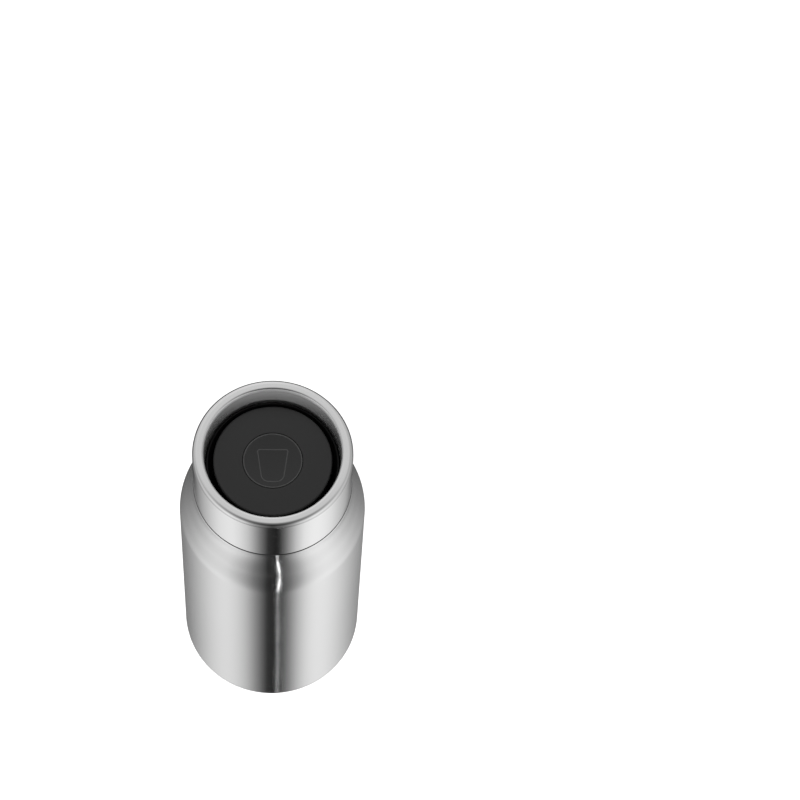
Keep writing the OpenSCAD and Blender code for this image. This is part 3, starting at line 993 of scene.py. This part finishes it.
@dataclass
class PushValve:
    """Button with its marks, stem, valve plate and seal."""

    edge: float = 0.35 * MM
    dish: float = 0.5 * MM
    button_t: float = 2.2 * MM
    skirt_r: float = 11 * MM
    stop_t: float = 2 * MM
    dish_rings: int = 16
    rim_gap: float = 0.1 * MM
    boss_r: float = 5 * MM
    stem_r: float = 3 * MM
    line_w: float = 0.5 * MM
    line_h: float = 0.03 * MM
    line_t: float = 0.12 * MM
    cup_low: tuple = (4.45 * MM, -9.45 * MM)
    cup_high: tuple = (6.5 * MM, 5.2 * MM)
    cup_round: tuple = (3.4 * MM, 1.0 * MM)
    cup_line: float = 0.4 * MM
    cup_side: float = 2 * MM
    cup_cuts: int = 10
    line_out: float = 0.15 * MM
    line_round: float = 0.05 * MM
    plate_hole: float = 1.5 * MM
    plate_step: tuple = (0.55, 0.6)
    plate_step_h: float = 0.35 * MM
    plate_step_round: float = 2 * MM
    plate_edge: tuple = (1 * MM, 1.2 * MM)
    spigot_r: float = 22.3 * MM
    seal_lip_h: float = 0.5 * MM

    def __post_init__(self) -> None:
        """Read the main sizes from the frame."""
        self.low_z, self.top_z, self.stop_r = Size.of("push_button")
        self.button_r = self.stop_r - STOP_LAP - self.rim_gap
        self.rim_r = self.button_r - self.edge
        self.dish_r = (self.rim_r ** 2 + self.dish ** 2) / (2 * self.dish)

    def build(self) -> None:
        """Build every piece of the valve."""
        self.push_button()
        self.ring_line()
        self.cup_mark()
        self.plate()
        self.seal()
        dress("valve_stem", NATURAL)
        dress("stem_screw", WIRE)

    def dish_z(self, r: float) -> float:
        """Height of the button's dished top at a radius."""
        return self.top_z - self.dish + self.dish_r - math.sqrt(self.dish_r ** 2 - r ** 2)

    def push_button(self) -> None:
        """Button with its finger dish, skirt and stop flange."""
        stop_top = self.top_z - ScrewLid.disc_t - FIT_GAP
        stop_low = stop_top - self.stop_t
        under = self.top_z - self.button_t
        socket_r = self.stem_r + FIT_GAP
        socket_z = under + self.button_t / 3
        radii = [self.rim_r * k / self.dish_rings for k in range(self.dish_rings)]
        bm = turned([
            *((r, self.dish_z(r)) for r in radii), (self.button_r, self.top_z, self.edge),
            (self.button_r, stop_top), (self.stop_r, stop_top), (self.stop_r, stop_low),
            (self.skirt_r, stop_low), (self.skirt_r, under), (self.boss_r, under),
            (self.boss_r, self.low_z), (socket_r, self.low_z), (socket_r, socket_z),
            (0.0, socket_z),
        ], closed=False)
        publish("button", bm, DARK, Body.VALVE, Slot.BLACK, "push_button")

    def ring_line(self) -> None:
        """Thin light line round the button's edge."""
        outer = self.rim_r + self.line_out
        inner = outer - self.line_w
        bm = turned([
            (inner, self.dish_z(inner) - self.line_t), (outer, self.dish_z(inner) - self.line_t),
            (outer, self.dish_z(self.rim_r) + self.line_h, self.line_round),
            (inner, self.dish_z(inner) + self.line_h),
        ])
        publish("button_line", bm, INK, Body.VALVE, Slot.BLACK)

    def cup_mark(self) -> None:
        """Outline of a plain cup on the button, in the same line."""
        (low_w, low), (high_w, high) = self.cup_low, self.cup_high
        low_round, high_round = self.cup_round
        bm = bmesh.new()
        Outline([
            (-low_w, low, low_round), (low_w, low, low_round), (high_w, high, high_round),
            (-high_w, high, high_round),
        ], closed=True).draw(bm)
        ops.rotate(bm, verts=bm.verts[:], matrix=Matrix.Rotation(-math.pi / 2, 3, "X"))
        inside = ops.contextual_create(bm, geom=bm.edges[:])["faces"]
        ops.inset_region(bm, faces=inside, thickness=self.cup_line, use_boundary=True, use_even_offset=True)
        ops.delete(bm, geom=inside, context="FACES_ONLY")
        sides = [e for e in bm.edges if e.calc_length() > self.cup_side]
        ops.subdivide_edges(bm, edges=sides, cuts=self.cup_cuts, use_grid_fill=True)
        ops.recalc_face_normals(bm, faces=bm.faces[:])
        if bm.faces[:][0].normal.z < 0:
            ops.reverse_faces(bm, faces=bm.faces[:])
        for vert in bm.verts:
            vert.co.z = self.dish_z(math.hypot(vert.co.x, vert.co.y)) + self.line_h
        ops.solidify(bm, geom=bm.faces[:], thickness=self.line_t)
        publish("cup_mark", bm, INK, Body.VALVE, Slot.BLACK)

    def plate(self) -> None:
        """Plate that closes the lid from below."""
        low, high, outer = Size.of("valve_plate")
        seal_z = Size.of("valve_seal").low
        stem_z = (low + high) / 2
        step_low, step_high = (share * outer for share in self.plate_step)
        step_z = low + self.plate_step_h
        edge_w, edge_h = self.plate_edge
        socket_r = self.stem_r + FIT_GAP
        bm = turned([
            (self.plate_hole, low, FINE), (step_low, low, self.plate_step_round),
            (step_high, step_z, self.plate_step_round), (outer - edge_w, step_z, FULL),
            (outer, low + edge_h, SOFT), (outer, seal_z, FINE), (self.spigot_r, seal_z),
            (self.spigot_r, high, SLIGHT), (socket_r, high, FINE), (socket_r, stem_z),
            (self.plate_hole, stem_z),
        ])
        publish("plate", bm, BLACK, Body.VALVE, Slot.BLACK, "valve_plate")

    def seal(self) -> None:
        """Soft ring on the plate, with a raised lip that meets the seat."""
        low, high, outer = Size.of("valve_seal")
        inner = self.spigot_r + FIT_GAP
        middle = (inner + outer) / 2
        foot_z = high - self.seal_lip_h
        bm = turned([
            (inner, low, CRISP), (outer, low, MILD), (outer, foot_z, MILD), (middle, high, SOFT),
            (inner, foot_z, FINE),
        ])
        publish("plate_seal", bm, SEAL, Body.VALVE, Slot.SOFT, "valve_seal")


@dataclass
class PushLatch:
    """Spring, washer and the push-push latch inside the hub."""

    wire_r: float = 0.6 * MM
    end_pitch: float = 1.7 * MM
    end_turns: int = 1
    open_turns: int = 5
    wire_sides: int = 14
    turn_steps: int = 36
    spring_foot: float = 150.5 * MM
    spring_top: float = 175.7 * MM
    press: float = 4.5 * MM

    def build(self) -> None:
        """Build every piece of the latch."""
        self.spring()
        dress("spring_washer", WIRE)
        dress("rotor_clip", WIRE)
        dress("latch_guide", NATURAL)
        dress("latch_rotor", ROTOR_PLASTIC)

    def spring(self) -> None:
        """Coil spring with a close turn at each end."""
        bm = bmesh.new()
        foot, top, outer = Size.of("return_spring")
        coil_r, low = outer - self.wire_r, foot + self.wire_r
        rise = top - self.wire_r - low
        open_pitch = (rise - 2 * self.end_turns * self.end_pitch) / self.open_turns
        start = Matrix.Translation((coil_r, 0, low)) @ Matrix.Rotation(math.pi / 2, 4, "X")
        ops.create_circle(bm, segments=self.wire_sides, radius=self.wire_r, matrix=start)
        last = bm.verts[:] + bm.edges[:]
        for turns, pitch in (
            (self.end_turns, self.end_pitch), (self.open_turns, open_pitch), (self.end_turns, self.end_pitch),
        ):
            last = ops.spin(
                bm, geom=last, axis=UP, angle=turns * FULL_TURN, steps=turns * self.turn_steps,
                dvec=(0, 0, pitch / self.turn_steps),
            )["geom_last"]
        ops.holes_fill(bm, edges=[e for e in bm.edges if e.is_boundary], sides=0)
        ops.recalc_face_normals(bm, faces=bm.faces[:])
        coil = publish("spring", bm, WIRE, Body.LID, Slot.WIRE, "return_spring")
        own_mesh(coil)


@dataclass
class Studio:
    """Floor, light, surroundings and camera.

    Attributes:
        floor_levels: brightness of the floor around as the steel sees it, by azimuth in degrees, with 0 in
            front and 90 to the right.
        screen_levels: the same for the screens around, which stand on the floor.
        wall_levels: the same for the walls above the screens.
        shade_levels: share of the light that is left, by degrees from the dark place round the camera.
        lamps: name, place, size in metres and power in watts of each soft box.
    """

    floor_size: float = 6.0
    floor_levels: tuple = (
        (-180, 0.03), (-166, 0.05), (-150, 0.14), (-138, 0.3), (-120, 0.56), (-108, 0.73), (-96, 0.92),
        (-84, 1.11), (-72, 1.21), (-60, 1.26), (-48, 1.14), (-36, 0.9), (-30, 0.71), (-24, 0.5), (-18, 0.31),
        (-12, 0.17), (-6, 0.05), (6, 0.02), (11, 0.05), (15, 0.14), (20, 0.26), (28, 0.54), (36, 0.87),
        (48, 1.23), (60, 1.34), (72, 1.33), (84, 1.22), (96, 1.07), (108, 0.86), (132, 0.54), (152, 0.2),
        (180, 0.03),
    )
    screen_levels: tuple = (
        (-180, 0.02), (-150, 0.08), (-115, 0.29), (-98, 0.41), (-85, 0.55), (-77, 0.66), (-68, 0.77),
        (-58, 0.84), (-50, 0.85), (-43, 0.81), (-35, 0.63), (-26, 0.42), (-17, 0.2), (-9, 0.09), (-4, 0.02),
        (3, 0.02), (9, 0.08), (17, 0.18), (26, 0.42), (35, 0.76), (43, 0.93), (52, 1.01), (60, 1.0),
        (68, 0.92), (77, 0.81), (85, 0.68), (98, 0.52), (115, 0.34), (150, 0.1), (180, 0.02),
    )
    wall_levels: tuple = (
        (-180, 1.2), (-150, 1.1), (-120, 0.85), (-100, 0.7), (-80, 0.95), (-60, 1.25), (-45, 1.45),
        (-30, 1.2), (-20, 0.65), (-12, 0.35), (0, 0.1), (12, 0.27), (20, 0.58), (30, 1.2), (45, 1.5),
        (60, 1.3), (80, 0.95), (100, 0.75), (120, 0.7), (150, 0.9), (180, 1.2),
    )
    shade_levels: tuple = (
        (0, 0.14), (15, 0.2), (25, 0.35), (33, 0.52), (40, 0.67), (48, 0.86), (60, 1.0), (180, 1.0),
    )
    shade_pitch: float = math.radians(62)
    screen_foot: tuple = (-0.87, -0.66)
    horizon: tuple = (-0.2, 0.02)
    ceiling: tuple = (0.75, 0.92)
    ceiling_level: float = 1.1
    foot_shade: tuple = (-1.0, -0.96, 0.7)
    strip_level: float = 5.5
    strip_foot: tuple = (-0.87, -0.82)
    strip_top: tuple = (-0.36, -0.3)
    strip_lean: float = math.radians(3.5)
    strip_mid: float = -0.6
    strip_azimuth: float = math.radians(6.8)
    strip_w: float = math.radians(1.2)
    strip_core: float = 0.3
    world_light: float = 0.22
    floor_glow: float = 0.84
    floor_grey: float = 0.8
    lamps: tuple = (
        ("front_box", (0.0, -1.35, 0.36), 0.5, 19.0),
        ("back_box", (0.0, 0.5, 1.0), 0.7, 3.0),
    )
    lamp_aim: tuple = (0.0, 0.0, 0.1)
    camera_place: tuple = (0.0, -535.8 * MM, 1395.7 * MM)
    pitch: float = math.radians(65.19)
    roll: float = math.radians(0.39)
    image_px: float = 800.0
    focal_px: float = 3262.8
    centre_px: float = 273.1
    sensor: float = 36.0
    view_end: float = 50.0

    def build(self) -> None:
        """Set the whole stage."""
        self.world()
        self.floor()
        self.lights()
        self.camera()
        bpy.context.scene.view_settings.view_transform = "Standard"

    def world(self) -> None:
        """White backdrop that lights the object softly, with the studio's greys in its reflections."""
        world = bpy.data.worlds.new("studio")
        world.use_nodes = True
        bpy.context.scene.world = world
        nodes = Nodes(world.node_tree)
        path = nodes.add("LightPath").outputs
        plain = nodes.mix(path["Is Camera Ray"], self.world_light, 1.0)
        clear = nodes.calc("MAXIMUM", plain, path["Is Transmission Ray"])
        level = nodes.tint(path["Is Glossy Ray"], clear, self.surroundings(nodes))
        back = nodes.add("Background", None, Color=level, Strength=1.0)
        nodes.add("OutputWorld", None, Surface=back.outputs[0])

    def surroundings(self, nodes: Nodes) -> Socket:
        """Mix the greys of the studio by direction: dark in front with a narrow lamp, light at the sides.

        Args:
            nodes: the world's nodes.

        Returns:
            The grey.
        """
        way = nodes.add("SeparateXYZ", None, Vector=nodes.add("TexCoord").outputs["Generated"])
        ahead = nodes.calc("MULTIPLY", way.outputs["Y"], -1.0)
        azimuth = nodes.calc("ARCTAN2", way.outputs["X"], ahead)
        floor, screens, walls = (
            nodes.ramp(azimuth, -math.pi, math.pi, tuple((math.radians(at), grey) for at, grey in table))
            for table in (self.floor_levels, self.screen_levels, self.wall_levels)
        )
        height = way.outputs["Z"]
        near, far, dim = self.foot_shade
        shadow = nodes.mix(nodes.step(height, near, far), dim, 1.0)
        floor = nodes.vector("MULTIPLY", floor, shadow)
        low = nodes.tint(nodes.step(height, *self.screen_foot), floor, screens)
        sides = nodes.tint(nodes.step(height, *self.horizon), low, walls)
        studio = nodes.tint(nodes.step(height, *self.ceiling), sides, rgba(self.ceiling_level))
        shaded = nodes.vector("MULTIPLY", studio, self.shade(nodes, way))
        return nodes.tint(self.strip(nodes, azimuth, height), shaded, rgba(self.strip_level))

    def shade(self, nodes: Nodes, way: bpy.types.Node) -> Socket:
        """Darken the surroundings round the camera.

        Args:
            nodes: the world's nodes.
            way: the direction's three parts.

        Returns:
            The share of the light that is left.
        """
        ahead = nodes.calc("MULTIPLY", way.outputs["Y"], -math.cos(self.shade_pitch))
        above = nodes.calc("MULTIPLY", way.outputs["Z"], math.sin(self.shade_pitch))
        off = nodes.calc("DEGREES", nodes.calc("ARCCOSINE", nodes.calc("ADD", ahead, above)))
        return nodes.ramp(off, 0.0, 180.0, self.shade_levels)

    def strip(self, nodes: Nodes, azimuth: Socket, height: Socket) -> Socket:
        """1 on the narrow lamp in front, which leans a little, and 0 beside it.

        Args:
            nodes: the world's nodes.
            azimuth: the direction's azimuth.
            height: the direction's height.

        Returns:
            The mask.
        """
        rise = nodes.calc("MULTIPLY", nodes.calc("SUBTRACT", height, self.strip_mid), self.strip_lean)
        middle = nodes.calc("ADD", rise, self.strip_azimuth)
        off = nodes.calc("ABSOLUTE", nodes.calc("SUBTRACT", azimuth, middle))
        across = nodes.step(off, self.strip_w / 2, self.strip_core * self.strip_w)
        above, below = nodes.step(height, *self.strip_foot), nodes.step(height, *self.strip_top[::-1])
        return nodes.calc("MULTIPLY", across, nodes.calc("MULTIPLY", above, below))

    def floor(self) -> None:
        """Pale floor that keeps the object's shadow, and glows for the camera, mirrors and glass."""
        material, nodes = new_material("floor")
        path = nodes.add("LightPath").outputs
        seen = nodes.calc("MAXIMUM", path["Is Camera Ray"], path["Is Glossy Ray"])
        seen = nodes.calc("MAXIMUM", seen, path["Is Transmission Ray"])
        glow = nodes.calc("MULTIPLY", seen, self.floor_glow)
        lit = nodes.add("BsdfDiffuse", None, Color=rgba(self.floor_grey))
        own = nodes.add("Emission", None, Color=rgba(1.0), Strength=glow)
        both = nodes.add("AddShader", None, i0=lit.outputs[0], i1=own.outputs[0])
        nodes.add("OutputMaterial", None, Surface=both.outputs[0])
        bm = bmesh.new()
        ops.create_grid(bm, x_segments=1, y_segments=1, size=self.floor_size / 2)
        floor = placed("floor", bm, material)
        floor.visible_glossy = False

    def lights(self) -> None:
        """Soft boxes in front and behind."""
        for name, spot, size, watts in self.lamps:
            light = bpy.data.lights.new(name, "AREA")
            light.shape = "SQUARE"
            light.size = size
            light.energy = watts
            lamp = bpy.data.objects.new(name, light)
            lamp.visible_glossy = False
            bpy.context.scene.collection.objects.link(lamp)
            aim = Vector(self.lamp_aim) - Vector(spot)
            lamp.matrix_world = Matrix.Translation(spot) @ aim.to_track_quat("-Z", "Y").to_matrix().to_4x4()

    def camera(self) -> None:
        """Camera at the photograph's viewing angle."""
        lens = bpy.data.cameras.new("camera")
        lens.sensor_width = self.sensor
        lens.lens = self.focal_px * self.sensor / self.image_px
        lens.shift_x = 0.5 - self.centre_px / self.image_px
        lens.clip_end = self.view_end
        camera = bpy.data.objects.new("camera", lens)
        bpy.context.scene.collection.objects.link(camera)
        turn = Matrix.Rotation(math.pi / 2 - self.pitch, 4, "X") @ Matrix.Rotation(self.roll, 4, "Z")
        camera.matrix_world = Matrix.Translation(self.camera_place) @ turn
        bpy.context.scene.camera = camera


def main() -> None:
    """Build the mug, its lid and the studio, logging each piece."""
    logging.basicConfig(level=logging.INFO, format="%(name)s: %(message)s")
    SteelMug().build()
    ScrewLid().build()
    PushValve().build()
    PushLatch().build()
    Studio().build()


if __name__ == "__main__":
    main()
